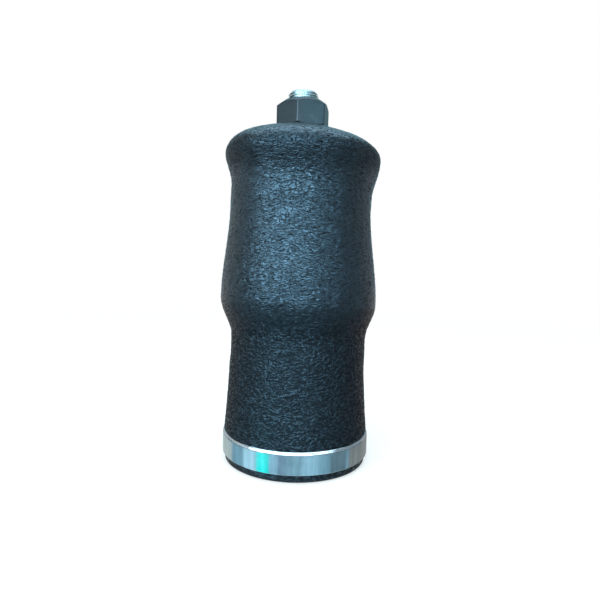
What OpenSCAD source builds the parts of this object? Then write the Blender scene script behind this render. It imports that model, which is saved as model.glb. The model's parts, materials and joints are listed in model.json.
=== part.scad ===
// Sleeve air spring with a threaded stud on its crown and a crimped foot.
// Millimetres, Z up. The origin is the centre of the face that the foot stands on.

/* [Sleeve] */
// Thickness of the rubber wall
sleeve_wall = 2.4; // [2:0.1:3]
// Outer radius where the crimp ring grips the rubber
foot_r = 28.2; // [27.6:0.1:29]
// Outer radius just above the crimp ring
root_r = 29.4; // [29.1:0.1:30]
// Outer radius of the lower waist
lower_waist_r = 27.4; // [27:0.1:28]
// Outer radius of the belt at mid height
belt_r = 31.5; // [30:0.1:33]
// Outer radius of the upper waist
upper_waist_r = 28.2; // [27.6:0.1:29]
// Outer radius of the shoulder
shoulder_r = 30.9; // [30:0.1:32]
// Length from the crimp ring to the lower waist
flare_len = 34; // [30:0.5:40]
// Straight length of the lower waist
lower_waist_len = 3.5; // [2:0.5:6]
// Length from the lower waist up to the belt
belt_rise_len = 14.5; // [12:0.5:20]
// Length from the belt up to the upper waist
belt_fall_len = 38; // [32:0.5:46]
// Straight length of the upper waist
upper_waist_len = 4.5; // [2:0.5:8]
// Length from the upper waist up to the shoulder
shoulder_rise_len = 14.8; // [12:0.2:18]
// Exponent of the flare above the crimp ring
flare_power = 1.45; // [1.2:0.05:1.8]

/* [Crown] */
// Height of the rubber crown above the shoulder
crown_h = 12.7; // [11:0.1:14]
// Exponent of the crown's superellipse
crown_power = 1.88; // [1.7:0.02:2.2]
// Thickness of the rubber crown
crown_wall = 2.9; // [2.6:0.1:3.3]
// Radius of the flat land around the stud
land_r = 11.5; // [11.2:0.1:12.5]

/* [Stud and nut] */
// Outer radius of the stud's thread
stud_r = 6; // [5.5:0.1:6.3]
// Depth of the stud's thread
thread_depth = 0.45; // [0.35:0.05:0.6]
// Length of the stud that stands out of the nut
stud_free_len = 3.5; // [3:0.1:9]
// Chamfer at the stud's tip
stud_chamfer = 1; // [0.6:0.1:1.3]
// Radius of the stud's head inside the crown
head_r = 11.2; // [10.6:0.1:11.2]
// Thickness of the stud's head
head_h = 4; // [3.4:0.1:5]
// Width across the nut's flats
nut_af = 19; // [18:0.5:20]
// Height of the nut
nut_h = 10.5; // [9:0.1:11]
// Radius of the nut's flat end inside its chamfer
nut_face_r = 7.7; // [7.2:0.1:8.9]
// Angle of the nut's chamfer
nut_chamfer_angle = 37; // [30:1:50]
// Angle of the small chamfer under the nut and under the screw's head
hex_low_angle = 30; // [15:1:45]
// Turn of the nut on its thread, in degrees
nut_turn = 18.7; // [0:0.1:60]
// Radius of the slotted clamp collar
collar_r = 10.2; // [9.6:0.1:10.6]
// Thickness of the clamp collar
collar_h = 1.6; // [1.4:0.1:2]
// Height of the collar above the rubber's land
collar_stand = 0.3; // [0.1:0.05:0.5]
// Width of a slot in the collar
collar_slot_w = 2.6; // [2:0.1:3]
// Depth of a slot in the collar
collar_slot_d = 1.3; // [1:0.1:1.6]

/* [Crown plate] */
// Thickness of the dished plate
plate_t = 1.8; // [1.5:0.1:2]
// Length of the plate's skirt below the shoulder
skirt_len = 4.5; // [3:0.1:6]
// Radius of the middle of the seal ring under the plate
seal_mid_r = 8.7; // [8.3:0.1:9]
// Thickness of the seal ring's cord
seal_cord = 1.8; // [1.6:0.1:2]

/* [Crimp ring] */
// Thickness of the ring's wall
ring_t = 1.7; // [1.4:0.1:2]
// Height of the ring
ring_h = 8.7; // [8:0.1:10]
// Height of the rubber strip below the ring
strip_h = 3.3; // [3:0.1:4]
// Height of the bright bevel at the ring's top
bevel_h = 1.5; // [1:0.1:2]
// Depth of the bevel
bevel_d = 0.55; // [0.3:0.05:0.8]
// Height and depth of the small chamfer at the ring's lower edge
ring_edge = 0.3; // [0.2:0.05:0.4]

/* [Base plug] */
// Height of the plug's rim
rim_h = 13; // [12.6:0.1:13.5]
// Inner radius of the rim
rim_in_r = 22.5; // [22:0.1:23]
// Thickness of the plug's web
web_t = 6; // [5:0.5:8]
// Number of barbs that bite into the rubber
barb_count = 3; // [2:1:3]
// Distance from one barb to the next
barb_pitch = 2.6; // [2.4:0.1:2.8]
// Depth of a barb
barb_depth = 0.6; // [0.4:0.1:0.8]
// Length of the plain land between two barbs
barb_land = 0.5; // [0.3:0.1:0.8]
// Chamfer of the plug's edges
plug_edge = 0.6; // [0.4:0.1:0.8]
// Radius of the plug's middle boss
boss_r = 9; // [8.4:0.1:9.4]
// Height of the middle boss
boss_h = 32; // [30:0.5:34]
// Radius of the threaded insert
insert_r = 6.6; // [6.2:0.1:6.8]
// Length of the threaded insert
insert_h = 12; // [10:0.5:12.5]
// Core radius of the insert's thread
insert_core_r = 4.25; // [3.4:0.05:4.4]
// Depth of the insert's thread
insert_depth = 10.5; // [8:0.5:11]
// Width of a groove around the insert
insert_groove_w = 1.4; // [1:0.1:1.8]
// Depth of a groove around the insert
insert_groove_d = 0.8; // [0.5:0.1:1]

/* [Guide cone] */
// Height of the cone above the plug's rim
cone_h = 35; // [33:0.5:36]
// Thickness of the cone's wall
cone_wall = 2.6; // [2.2:0.1:2.8]
// Thickness of the cone's deck
deck_t = 3; // [2.5:0.1:4]
// Radius of the cone's upper edge
cone_edge_r = 3.5; // [3:0.1:4]
// Radius of the tube around the centre screw
tube_r = 8; // [7:0.1:8.5]
// Number of ribs, and of vents between them
rib_count = 6; // [4:1:8]
// Thickness of a rib
rib_t = 2; // [1.5:0.1:2.4]
// Height at which the ribs start above the plug's rim
rib_lift = 9; // [8:0.5:12]
// Radius of a vent hole
vent_r = 2.2; // [1.5:0.1:2.4]
// Distance of the vents from the axis
vent_ring_r = 18.6; // [18.2:0.1:18.8]

/* [Bump stop] */
// Travel of the crown down to the bump stop
stroke_down = 40; // [30:1:45]
// Thickness of the cup's sheet
cup_t = 1.2; // [1:0.1:1.5]
// Height of the cup
cup_h = 6; // [5:0.5:8]
// Outer radius of the bump stop's base
bump_r = 14; // [13:0.1:14.4]
// Height of the plain base of the bump stop
bump_base_h = 8; // [7:0.5:9]
// Radius of the bump stop's grooves near its base
bump_groove_r = 11.6; // [11:0.1:12]
// Radius of the bump stop's crests near its base
bump_crest_r = 13.6; // [13:0.1:13.8]
// How much the bump stop narrows towards its top
bump_taper = 1.6; // [1:0.1:1.8]
// Number of grooves around the bump stop
bump_groove_count = 3; // [2:1:4]
// Radius of the well down the middle of the bump stop
bump_well_r = 8.3; // [8.1:0.1:8.6]
// Thickness of the bump stop's floor, which the screw holds
bump_floor = 6; // [5:0.5:6.5]

/* [Centre screw] */
// Outer radius of the screw's thread
screw_r = 4; // [3.8:0.1:4.2]
// Depth of the screw's thread
screw_thread_depth = 0.45; // [0.35:0.05:0.5]
// Length of the screw below its head
screw_len = 40; // [38:0.5:41]
// Depth of the tapped hole beyond the screw's tip
tap_runout = 3; // [2:0.2:3.4]
// Width across the flats of the screw's head
screw_af = 13; // [12:0.5:13]
// Height of the screw's head
screw_head_h = 5.3; // [4.8:0.1:6]
// Radius of the flat end of the screw's head inside its chamfer
screw_face_r = 6.2; // [5.6:0.1:6.4]
// Angle of the chamfer of the screw's head
screw_chamfer_angle = 30; // [20:1:45]
// Radius of the flat washer
washer_r = 8; // [7.6:0.1:8]
// Thickness of the flat washer
washer_t = 1.6; // [1.2:0.1:2]
// Radius of the spring washer
spring_washer_r = 7.4; // [7:0.1:7.5]
// Thickness of the spring washer
spring_washer_t = 2; // [1.6:0.1:2.2]
// Width of the spring washer's split
split_w = 1; // [0.6:0.1:1.4]

/* [Air port] */
// Distance of the air port from the axis
port_x = 14.5; // [14.3:0.1:14.8]
// Outer radius of the port's cartridge
port_r = 6.4; // [6.2:0.1:6.5]
// Length of the cartridge
port_len = 14.8; // [14.6:0.1:15.4]
// Height of the cartridge's mouth above the base face
port_lift = 0.4; // [0.3:0.1:0.6]
// Radius of the boss around the port
port_boss_r = 8.5; // [8.2:0.1:8.6]
// Height of the boss above the cartridge
port_boss_cap = 4; // [3:0.5:5]
// Radius of the air drilling
air_r = 2; // [1.5:0.1:2.2]
// Radius of the recess that the collet's flange moves in
mouth_r = 5.2; // [5.1:0.05:5.3]
// Depth of that recess
mouth_h = 2.5; // [2.3:0.1:2.8]
// Bore radius of the lip that holds the collet
lip_r = 4.2; // [4.15:0.05:4.3]
// Thickness of the lip
lip_h = 2.1; // [1.8:0.1:2.3]
// Radius of the chamber behind the lip
chamber_r = 5; // [4.95:0.05:5.05]
// Length of the chamber
chamber_h = 6.5; // [6.4:0.1:6.9]
// Outer radius of the air tube that the port takes
tube_out_r = 3; // [2.9:0.05:3.05]
// Depth of the seat that the tube stops against
tube_seat_h = 1; // [0.8:0.1:1.2]
// Wall of the collet
collet_wall = 0.95; // [0.9:0.05:1]
// Radius of the collet's flange
collet_flange_r = 4.9; // [4.8:0.05:4.95]
// Thickness of the collet's flange
collet_flange_h = 1.3; // [1.1:0.1:1.4]
// Radius of the collet's barb
collet_barb_r = 4.6; // [4.5:0.05:4.75]
// Length of the collet's barb
collet_barb_h = 1.2; // [1:0.1:1.3]
// Travel of the collet
collet_travel = 1; // [0.8:0.05:1.05]
// Thickness of the grip ring
grip_t = 0.4; // [0.3:0.05:0.5]
// Number of teeth around the grip ring
grip_teeth = 8; // [6:1:12]
// How far the teeth reach into the tube
grip_bite = 0.1; // [0.05:0.05:0.2]
// Width of a slot between two teeth
grip_slot_w = 1; // [0.6:0.1:1.2]
// Width of the closed band around the teeth
grip_band = 1; // [0.8:0.1:1.4]
// Thickness of the spacer ring
spacer_t = 1; // [0.8:0.1:1.1]
// Thickness of the tube seal's cord
tube_seal_cord = 1.8; // [1.7:0.05:1.85]
// Thickness of the cartridge's outer seal
port_seal_cord = 1.2; // [1:0.05:1.3]

/* [Fits] */
// Height of the rubber's cut edge above the base face
edge_lift = 0.3; // [0.2:0.1:0.6]
// Gap between the crown plate and the rubber
plate_gap = 0.25; // [0.2:0.05:0.4]
// Gap between the guide cone and the rubber
cone_gap = 0.2; // [0.15:0.05:0.4]
// Radial gap in a screwed joint
thread_fit = 0.05; // [0.03:0.01:0.08]
// Radial gap around a shank in a plain hole
shank_fit = 0.3; // [0.2:0.05:0.4]
// Gap between the clamp collar and the rubber
collar_fit = 0.2; // [0.1:0.05:0.3]
// Radial gap between the air tube and the collet
tube_fit = 0.1; // [0.05:0.01:0.15]
// Gap left at the end of a stroke
stop_gap = 0.3; // [0.2:0.1:0.5]
// Small gap between parts that only lie against each other
rest_gap = 0.1; // [0.05:0.05:0.2]

/* [Hidden] */
$fn = 96;

// Heights of the sleeve's stations
ring_top = strip_h + ring_h;
flare_top = ring_top + flare_len;
rise_z = flare_top + lower_waist_len;
belt_z = rise_z + belt_rise_len;
fall_end = belt_z + belt_fall_len;
swell_z = fall_end + upper_waist_len;
shoulder_z = swell_z + shoulder_rise_len;
side_step = 1.75;
arc_steps = 22;
round_steps = 6;

// Crown, from the rubber's land down to the stud's head
inner_crown_r = shoulder_r - sleeve_wall;
inner_crown_h = crown_h - crown_wall;
plate_out_r = inner_crown_r - plate_gap;
plate_out_h = inner_crown_h - plate_gap;
plate_in_r = plate_out_r - plate_t;
plate_in_h = plate_out_h - plate_t;
land_z = crown_z(land_r, shoulder_r, crown_h);
inner_land_z = crown_z(land_r, inner_crown_r, inner_crown_h);
plate_top_z = crown_z(land_r, plate_out_r, plate_out_h);
plate_under_z = crown_z(land_r, plate_in_r, plate_in_h);
collar_top_z = land_z + collar_stand;
collar_seat_z = collar_top_z - collar_h;
nut_top_z = collar_top_z + nut_h;
tip_z = nut_top_z + stud_free_len;
head_z = plate_under_z - head_h;
stud_core_r = stud_r - thread_depth;

// Foot, from the base face up to the bump stop
plug_r = foot_r - sleeve_wall;
ring_r = foot_r + ring_t;
barb_z = strip_h + plug_edge;
cone_top = rim_h + cone_h;
screw_core_r = screw_r - screw_thread_depth;
screw_hole_r = screw_core_r + thread_fit;
screw_bore_r = screw_r + shank_fit;
cup_floor_z = cone_top + cup_t;
floor_top_z = cup_floor_z + bump_floor;
washer_top_z = floor_top_z + washer_t;
screw_head_z = washer_top_z + spring_washer_t;
screw_tip_z = screw_head_z - screw_len;
screw_floor_z = screw_tip_z - tap_runout;
bump_top_z = head_z - stroke_down - stop_gap;
rib_z = rim_h + rib_lift;

// Air port, from its mouth up
mouth_top_z = port_lift + mouth_h;
lip_top_z = mouth_top_z + lip_h;
chamber_top_z = lip_top_z + chamber_h;
tube_seat_z = chamber_top_z + tube_seat_h;
port_top_z = port_lift + port_len;
tube_way_r = tube_out_r + tube_fit;
collet_r = tube_way_r + collet_wall;
barb_low_z = lip_top_z + rest_gap;
collet_tip_z = barb_low_z + collet_barb_h;
collet_flange_top_z = mouth_top_z - collet_travel - rest_gap;
collet_low_z = collet_flange_top_z - collet_flange_h;
grip_z = collet_tip_z + collet_travel + rest_gap;
spacer_z = grip_z + grip_t + rest_gap;
tube_seal_z = spacer_z + spacer_t + tube_seal_cord / 2;
port_seal_r = port_r - port_seal_cord / 2;
port_seal_z = (tube_seat_z + port_top_z) / 2;

// Eases from 0 to 1, level at both ends
function ease(t) = t * t * (3 - 2 * t);

// Value between a and b at share t of the way
function between(a, b, t) = a + (b - a) * ease(t);

// Outer radius of the sleeve's side at height z
function side_r(z) =
    z < flare_top ?
        lower_waist_r + (root_r - lower_waist_r) * pow((flare_top - z) / flare_len, flare_power) :
    z < rise_z ? lower_waist_r :
    z < belt_z ? between(lower_waist_r, belt_r, (z - rise_z) / belt_rise_len) :
    z < fall_end ? between(belt_r, upper_waist_r, (z - belt_z) / belt_fall_len) :
    z < swell_z ? upper_waist_r :
    between(upper_waist_r, shoulder_r, (z - swell_z) / shoulder_rise_len);

// Height of a crown of radius a and height b at distance r from the axis
function crown_z(r, a, b) = shoulder_z + b * pow(1 - pow(r / a, crown_power), 1 / crown_power);

// Points of the sleeve's side between two heights, moved in by a distance
function side_points(z0, z1, inset) =
    let(steps = max(2, ceil((z1 - z0) / side_step)))
    [for (i = [0 : steps]) let(z = z0 + (z1 - z0) * i / steps) [side_r(z) - inset, z]];

// Points of a crown from the shoulder to the edge of the land
function crown_points(a, b) =
    let(last = acos(pow(land_r / a, crown_power / 2)))
    [for (i = [1 : arc_steps]) let(t = last * i / arc_steps)
        [a * pow(cos(t), 2 / crown_power), shoulder_z + b * pow(sin(t), 2 / crown_power)]];

// The same points in the other order
function reversed(points) = [for (i = [len(points) - 1 : -1 : 0]) points[i]];

// A quarter round from the side to the top, without its first point
function quarter(cx, cz, r) =
    [for (i = [1 : round_steps]) let(t = 90 * i / round_steps) [cx + r * cos(t), cz + r * sin(t)]];

// Solid of revolution about the Z axis
module turned(points) {
    rotate_extrude() polygon(points);
}

// Flat ring between two radii
module ring(inner_r, outer_r, low_z, high_z) {
    turned([[inner_r, low_z], [outer_r, low_z], [outer_r, high_z], [inner_r, high_z]]);
}

// Rubber seal ring of round cord
module cord_ring(mid_r, mid_z, cord) {
    rotate_extrude() translate([mid_r, mid_z]) circle(d = cord, $fn = 48);
}

// Hex bar with a chamfer round its upper end, and a small one down to the flats round its lower end
module hex_block(af, low_z, high_z, face_r, angle) {
    corner_r = af / 2 / cos(30);
    high_drop = (corner_r - face_r) * tan(angle);
    low_rise = (corner_r - af / 2) * tan(hex_low_angle);
    intersection() {
        translate([0, 0, low_z]) cylinder(r = corner_r, h = high_z - low_z, $fn = 6);
        turned([
            [0, low_z], [af / 2, low_z], [corner_r, low_z + low_rise],
            [corner_r, high_z - high_drop], [face_r, high_z], [0, high_z]
        ]);
    }
}

// Stud with a wide head that the crown plate hangs on
module top_stud() {
    seal_in = seal_mid_r - seal_cord / 2;
    seal_out = seal_mid_r + seal_cord / 2;
    groove_z = plate_under_z - seal_cord;
    color("lightsteelblue") turned([
        [0, head_z], [head_r - plug_edge, head_z], [head_r, head_z + plug_edge], [head_r, plate_under_z],
        [seal_out + rest_gap, plate_under_z], [seal_out + rest_gap, groove_z],
        [seal_in - rest_gap, groove_z], [seal_in - rest_gap, plate_under_z],
        [stud_r, plate_under_z], [stud_r, collar_seat_z], [stud_core_r, collar_seat_z],
        [stud_core_r, nut_top_z], [stud_r, nut_top_z], [stud_r, tip_z - stud_chamfer],
        [stud_r - stud_chamfer, tip_z], [0, tip_z]
    ]);
}

// Hex nut that clamps the bracket on the crown
module top_nut() {
    bore_r = stud_core_r + thread_fit;
    lead_in_r = stud_r + thread_fit;
    color("dimgray") rotate([0, 0, nut_turn]) difference() {
        hex_block(nut_af, collar_top_z, nut_top_z, nut_face_r, nut_chamfer_angle);
        translate([0, 0, collar_top_z - 1]) cylinder(r = bore_r, h = nut_h + 2);
        for (end = [0, 1]) translate([0, 0, collar_top_z + nut_h * end]) mirror([0, 0, end])
            turned([[0, -1], [lead_in_r + 1, -1], [bore_r, lead_in_r - bore_r], [0, lead_in_r - bore_r]]);
    }
}

// Slotted round nut, sunk in the rubber, that holds the crown together
module clamp_collar() {
    color("gray") difference() {
        ring(stud_core_r + thread_fit, collar_r, collar_seat_z, collar_top_z);
        for (i = [0 : 3]) rotate([0, 0, 45 + 90 * i])
            translate([collar_r - collar_slot_d, -collar_slot_w / 2, collar_seat_z - 1])
                cube([collar_slot_d + 1, collar_slot_w, collar_h + 2]);
    }
}

// Seal ring in the groove of the stud's head
module stud_seal() {
    color("black") cord_ring(seal_mid_r, plate_under_z - seal_cord / 2, seal_cord);
}

// Dished steel plate that gives the sleeve its shoulder
module crown_plate() {
    skirt_z = shoulder_z - skirt_len;
    outside = side_points(skirt_z, shoulder_z, sleeve_wall + plate_gap);
    inside = side_points(skirt_z, shoulder_z, sleeve_wall + plate_gap + plate_t);
    color("silver") turned(concat(
        outside, crown_points(plate_out_r, plate_out_h),
        [[stud_r + shank_fit, plate_top_z], [stud_r + shank_fit, plate_under_z]],
        reversed(crown_points(plate_in_r, plate_in_h)), reversed(inside)
    ));
}

// Moulded rubber sleeve with its domed crown
module sleeve() {
    outside = side_points(ring_top, shoulder_z, 0);
    inside = side_points(ring_top, shoulder_z, sleeve_wall);
    well_r = collar_r + collar_fit;
    hole_r = stud_r + shank_fit;
    seat_z = collar_seat_z - rest_gap;
    color("#222528") turned(concat(
        [[foot_r, edge_lift], [foot_r, ring_top]],
        outside, crown_points(shoulder_r, crown_h),
        [[well_r, land_z], [well_r, seat_z], [hole_r, seat_z], [hole_r, inner_land_z]],
        reversed(crown_points(inner_crown_r, inner_crown_h)), reversed(inside),
        [[plug_r, ring_top], [plug_r, edge_lift]]
    ));
}

// Aluminium ring, crimped over the foot of the sleeve
module crimp_ring() {
    color("gainsboro") turned([
        [foot_r, strip_h], [ring_r - ring_edge, strip_h], [ring_r, strip_h + ring_edge],
        [ring_r, ring_top - bevel_h], [ring_r - bevel_d, ring_top], [foot_r, ring_top]
    ]);
}

// Turned closure of the foot, with barbs, a middle boss and the boss of the air port
module base_plug() {
    barbs = [for (i = [0 : barb_count - 1]) let(z = barb_z + barb_pitch * i)
        each [[plug_r, z], [plug_r - barb_depth, z], [plug_r, z + barb_pitch - barb_land]]];
    color("silver") difference() {
        union() {
            turned(concat(
                [[0, insert_h], [insert_r, insert_h], [insert_r, 0], [plug_r - plug_edge, 0],
                 [plug_r, plug_edge]],
                barbs,
                [
                    [plug_r, rim_h - plug_edge], [plug_r - plug_edge, rim_h], [rim_in_r, rim_h],
                    [rim_in_r, web_t], [boss_r, web_t], [boss_r, boss_h], [screw_hole_r, boss_h],
                    [screw_hole_r, screw_floor_z], [0, screw_floor_z]
                ]
            ));
            translate([port_x, 0, web_t / 2])
                cylinder(r = port_boss_r, h = port_top_z + port_boss_cap - web_t / 2);
        }
        translate([port_x, 0, -1]) cylinder(r = port_r, h = port_top_z + 1);
        translate([port_x, 0, 0]) cylinder(r = air_r, h = port_top_z + port_boss_cap + 1);
        translate([0, 0, screw_floor_z]) cylinder(r = screw_hole_r, h = boss_h);
        translate([0, 0, -1]) cylinder(r = insert_r, h = insert_h + 1);
    }
}

// Threaded steel insert that the foot is bolted down by
module mount_insert() {
    groove_in = insert_r - insert_groove_d;
    groove_low = insert_h / 2 - insert_groove_w / 2;
    groove_high = insert_h / 2 + insert_groove_w / 2;
    color("tan") turned([
        [0, insert_depth], [insert_core_r, insert_depth], [insert_core_r, 0], [insert_r, 0],
        [insert_r, groove_low], [groove_in, groove_low], [groove_in, groove_high], [insert_r, groove_high],
        [insert_r, insert_h], [0, insert_h]
    ]);
}

// Ribbed and vented cone that the lower sleeve lies on
module guide_cone() {
    edge_z = cone_top - cone_edge_r;
    inset = sleeve_wall + cone_gap;
    outside = side_points(rim_h, edge_z, inset);
    inside = side_points(rim_h, cone_top - deck_t, inset + cone_wall);
    edge_mid_r = side_r(edge_z) - inset - cone_edge_r;
    rib_top_z = cone_top - deck_t / 2;
    color("darkslategray") difference() {
        union() {
            turned(concat(
                outside, quarter(edge_mid_r, edge_z, cone_edge_r),
                [
                    [screw_bore_r, cone_top], [screw_bore_r, boss_h], [tube_r, boss_h],
                    [tube_r, cone_top - deck_t]
                ],
                reversed(inside)
            ));
            for (i = [0 : rib_count - 1]) rotate([0, 0, 360 * (i + 0.5) / rib_count]) intersection() {
                translate([0, -rib_t / 2, rib_z]) cube([belt_r, rib_t, rib_top_z - rib_z]);
                turned(concat(
                    [[boss_r + rest_gap, rim_h], [boss_r + rest_gap, boss_h], [tube_r - rest_gap, boss_h],
                     [tube_r - rest_gap, rib_top_z]],
                    reversed(side_points(rim_h, rib_top_z, inset + cone_wall / 2))
                ));
            }
        }
        for (i = [0 : rib_count - 1]) rotate([0, 0, 360 * i / rib_count])
            translate([vent_ring_r, 0, cone_top - deck_t - 1]) cylinder(r = vent_r, h = deck_t + 2);
    }
}

// Pressed cup that holds the bump stop
module bump_cup() {
    in_r = bump_r + rest_gap;
    out_r = in_r + cup_t;
    bend_r = cup_t;
    color("silver") turned(concat(
        [[screw_bore_r, cone_top]],
        [for (i = [0 : round_steps]) let(t = -90 + 90 * i / round_steps)
            [out_r - bend_r + bend_r * cos(t), cone_top + bend_r + bend_r * sin(t)]],
        [[out_r, cone_top + cup_h], [in_r, cone_top + cup_h], [in_r, cup_floor_z],
         [screw_bore_r, cup_floor_z]]
    ));
}

// Rubber bump stop with soft rings that fold as it is squeezed
module bump_stop() {
    base_top = cup_floor_z + bump_base_h;
    ribs_h = bump_top_z - base_top;
    steps = 8 * bump_groove_count;
    mean = (bump_crest_r + bump_groove_r) / 2;
    swing = (bump_crest_r - bump_groove_r) / 2;
    rings = [for (i = [0 : steps]) let(t = i / steps)
        [mean - swing * cos(360 * bump_groove_count * t) - bump_taper * t, base_top + ribs_h * t]];
    color("#2d2b26") turned(concat(
        [[screw_bore_r, cup_floor_z], [bump_r - plug_edge, cup_floor_z], [bump_r, cup_floor_z + plug_edge],
         [bump_r, base_top - plug_edge]],
        rings,
        [[bump_well_r, bump_top_z], [bump_well_r, floor_top_z], [screw_bore_r, floor_top_z]]
    ));
}

// Flat washer under the spring washer
module flat_washer() {
    color("lightgray") ring(screw_bore_r, washer_r, floor_top_z, washer_top_z);
}

// Split spring washer
module spring_washer() {
    color("gray") difference() {
        ring(screw_bore_r, spring_washer_r, washer_top_z, screw_head_z);
        translate([0, -split_w / 2, washer_top_z - 1])
            cube([spring_washer_r + 1, split_w, spring_washer_t + 2]);
    }
}

// Hex screw that holds bump stop, cup and cone down on the plug
module center_screw() {
    color("silver") union() {
        hex_block(screw_af, screw_head_z, screw_head_z + screw_head_h, screw_face_r, screw_chamfer_angle);
        turned([
            [0, screw_tip_z], [screw_core_r, screw_tip_z], [screw_core_r, boss_h], [screw_r, boss_h],
            [screw_r, screw_head_z + 1], [0, screw_head_z + 1]
        ]);
    }
}

// Brass body of the push-in air port
module port_cartridge() {
    groove_in = port_seal_r - port_seal_cord / 2;
    groove_low = port_seal_z - port_seal_cord / 2 - rest_gap;
    groove_high = port_seal_z + port_seal_cord / 2 + rest_gap;
    color("goldenrod") translate([port_x, 0, 0]) turned([
        [mouth_r, port_lift], [port_r, port_lift], [port_r, groove_low], [groove_in, groove_low],
        [groove_in, groove_high], [port_r, groove_high], [port_r, port_top_z], [air_r, port_top_z],
        [air_r, tube_seat_z], [tube_way_r, tube_seat_z], [tube_way_r, chamber_top_z],
        [chamber_r, chamber_top_z], [chamber_r, lip_top_z], [lip_r, lip_top_z], [lip_r, mouth_top_z],
        [mouth_r, mouth_top_z]
    ]);
}

// Seal between the cartridge and the plug
module port_seal() {
    color("black") translate([port_x, 0, 0]) cord_ring(port_seal_r, port_seal_z, port_seal_cord);
}

// Ring that keeps the grip ring off the tube's seal
module port_spacer() {
    color("ivory") translate([port_x, 0, 0])
        ring(tube_way_r, chamber_r - rest_gap, spacer_z, spacer_z + spacer_t);
}

// Seal that closes on the air tube
module tube_seal() {
    color("black") translate([port_x, 0, 0])
        cord_ring(chamber_r - rest_gap - tube_seal_cord / 2, tube_seal_z, tube_seal_cord);
}

// Toothed spring-steel ring that holds the air tube
module grip_ring() {
    slot_end = chamber_r - grip_band;
    color("lightsteelblue") translate([port_x, 0, 0]) difference() {
        ring(tube_out_r - grip_bite, chamber_r - rest_gap, grip_z, grip_z + grip_t);
        for (i = [0 : grip_teeth - 1]) rotate([0, 0, 360 * i / grip_teeth])
            translate([0, -grip_slot_w / 2, grip_z - 1]) cube([slot_end, grip_slot_w, grip_t + 2]);
    }
}

// Collet that is pushed in to free the air tube
module release_collet() {
    color("#20242c") translate([port_x, 0, 0]) turned([
        [tube_way_r, collet_low_z], [collet_flange_r, collet_low_z], [collet_flange_r, collet_flange_top_z],
        [collet_r, collet_flange_top_z], [collet_r, barb_low_z], [collet_barb_r, barb_low_z],
        [collet_r, collet_tip_z], [tube_way_r, collet_tip_z]
    ]);
}

top_stud();
top_nut();
clamp_collar();
stud_seal();
crown_plate();
sleeve();
crimp_ring();
base_plug();
mount_insert();
guide_cone();
bump_cup();
bump_stop();
flat_washer();
spring_washer();
center_screw();
port_cartridge();
port_seal();
port_spacer();
tube_seal();
grip_ring();
release_collet();
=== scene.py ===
# %% [markdown]
# # Sleeve air spring
# The object is a slim air spring, as used under a vehicle seat. A moulded rubber sleeve ends in a domed crown, an
# aluminium ring is crimped over its foot, and a threaded stud with a black hex nut stands on the crown.
# The imported CAD model comes first. It fixes every size, every place and what moves with what, so nothing is fitted by
# eye afterwards.

# %% Load the imported model
import json
import math

import bpy
import numpy as np
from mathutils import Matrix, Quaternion, Vector


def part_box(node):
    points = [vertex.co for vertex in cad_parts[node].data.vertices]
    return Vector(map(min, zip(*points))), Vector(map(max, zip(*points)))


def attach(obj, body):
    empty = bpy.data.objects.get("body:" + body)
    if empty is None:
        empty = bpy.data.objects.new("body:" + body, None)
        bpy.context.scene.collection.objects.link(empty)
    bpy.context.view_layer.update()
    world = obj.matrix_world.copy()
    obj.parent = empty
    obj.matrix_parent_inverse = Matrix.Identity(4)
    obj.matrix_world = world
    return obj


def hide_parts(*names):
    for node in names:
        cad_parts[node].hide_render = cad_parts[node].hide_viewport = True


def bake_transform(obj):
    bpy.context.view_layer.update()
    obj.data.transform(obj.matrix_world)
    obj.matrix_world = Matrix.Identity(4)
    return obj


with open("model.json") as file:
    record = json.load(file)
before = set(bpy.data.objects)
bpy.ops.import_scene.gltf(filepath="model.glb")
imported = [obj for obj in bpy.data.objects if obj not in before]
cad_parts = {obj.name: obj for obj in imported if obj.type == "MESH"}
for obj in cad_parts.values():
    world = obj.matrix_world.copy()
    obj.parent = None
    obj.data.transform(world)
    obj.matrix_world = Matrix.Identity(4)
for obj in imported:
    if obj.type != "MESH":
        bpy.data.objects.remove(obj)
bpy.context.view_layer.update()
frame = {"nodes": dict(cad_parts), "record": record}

# %% [markdown]
# ## Heights that the pieces share
# A designer thinks in millimetres and Blender in metres. All shapes below are worked out in millimetres, in the frame
# of the CAD model, and turned into metres when they become a mesh.
# Heights and radii of the rigid pieces are asked from the CAD nodes' boxes. A new surface then sits exactly where the
# solid sits that it stands for.

# %% Ask the CAD model for its heights
MM = 0.001


def node_box(node):
    """Lowest and highest corner of a CAD node, in millimetres."""
    low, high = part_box(node)
    return np.array(low) / MM, np.array(high) / MM


ring_low, ring_high = node_box("crimp_ring")
nut_low, nut_high = node_box("top_nut")
stud_low, stud_high = node_box("top_stud")
ring_foot_z, ring_top_z, ring_r = ring_low[2], ring_high[2], ring_high[0]
nut_foot_z, nut_top_z, tip_z = nut_low[2], nut_high[2], stud_high[2]
print(f"ring {ring_foot_z:.2f} to {ring_top_z:.2f}, nut {nut_foot_z:.2f} to {nut_top_z:.2f}, tip {tip_z:.2f} mm")

# %% [markdown]
# ## Writing shader maths as expressions
# A finish is built from nodes. Wiring Math nodes by hand hides the formula, so a small class wraps an output socket and
# gives it the usual operators. `1 - mask * 0.3` then adds its Math nodes by itself.
# Every node comes from one function, which takes the node's type, its settings and what goes into its sockets.

# %% Nodes and signals
def plug(socket, value):
    """Links a Signal to a socket, or sets the socket to a plain value."""
    if isinstance(value, Signal):
        socket.id_data.links.new(value.socket, socket)
    else:
        socket.default_value = value


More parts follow.
